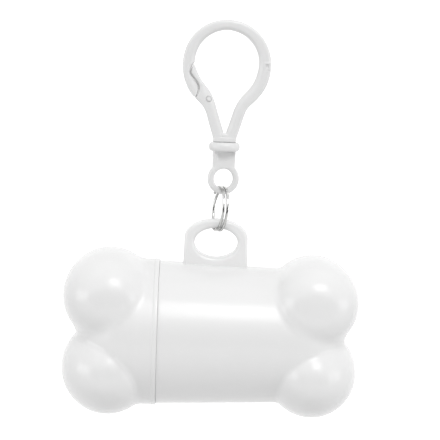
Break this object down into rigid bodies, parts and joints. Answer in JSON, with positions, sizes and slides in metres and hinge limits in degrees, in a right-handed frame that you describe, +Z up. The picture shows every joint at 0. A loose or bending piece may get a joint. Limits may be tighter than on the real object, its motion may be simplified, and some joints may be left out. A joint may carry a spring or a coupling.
{
  "type": "dog waste bag dispenser",
  "caption": "Bone-shaped plastic case that holds a roll of dog waste bags, with a pull-off end cap, a bag slot, and a lug that hangs by a split ring from a swivel snap hook.",
  "frame": {"origin": "the hook's seat, at the inner top of its loop, where a lead or strap carries it", "axes": "+X along the bone from its cap to its closed end, +Y from its front to its back, +Z up along the hook"},
  "size_m": [0.0814, 0.0406, 0.1097],
  "materials": {
    "hook_plastic": "satin",
    "case_plastic": "satin",
    "ring_steel": "polished",
    "core_card": "matte",
    "bag_film": "satin"
  },
  "bodies": {
    "hook": {"snap_hook": "hook_plastic"},
    "gate": {"gate_arm": "hook_plastic"},
    "eye": {"swivel_eye": "hook_plastic"},
    "ring": {"split_ring": "ring_steel"},
    "dispenser": {"dispenser_body": "case_plastic"},
    "cap": {"end_cap": "case_plastic"},
    "roll": {"roll_core": "core_card", "bag_roll": "bag_film"}
  },
  "joints": [
    {"name": "gate_swing", "type": "hinge", "parent": "hook", "child": "gate", "pos_m": [-0.00296, 0, -0.02506], "axis": [0, 1, 0], "range_deg": [0, 18], "stiffness_Nm_per_rad": 0.02, "springref_deg": -11.46},
    {"name": "eye_swivel", "type": "hinge", "parent": "hook", "child": "eye", "pos_m": [0, 0, -0.033], "axis": [0, 0, 1], "continuous": true},
    {"name": "ring_swing", "type": "hinge", "parent": "eye", "child": "ring", "pos_m": [0, 0, -0.04519], "axis": [0.9659, 0.2588, 0], "range_deg": [-90, 90]},
    {"name": "case_swing", "type": "hinge", "parent": "ring", "child": "dispenser", "pos_m": [0, 0, -0.05544], "axis": [-0.2588, 0.9659, 0], "range_deg": [-60, 60]},
    {"name": "cap_pull", "type": "slide", "parent": "dispenser", "child": "cap", "axis": [-1, 0, 0], "range_m": [0, 0.03]},
    {"name": "roll_spin", "type": "hinge", "parent": "dispenser", "child": "roll", "pos_m": [-0.0003, 0, -0.08451], "axis": [1, 0, 0], "continuous": true}
  ]
}
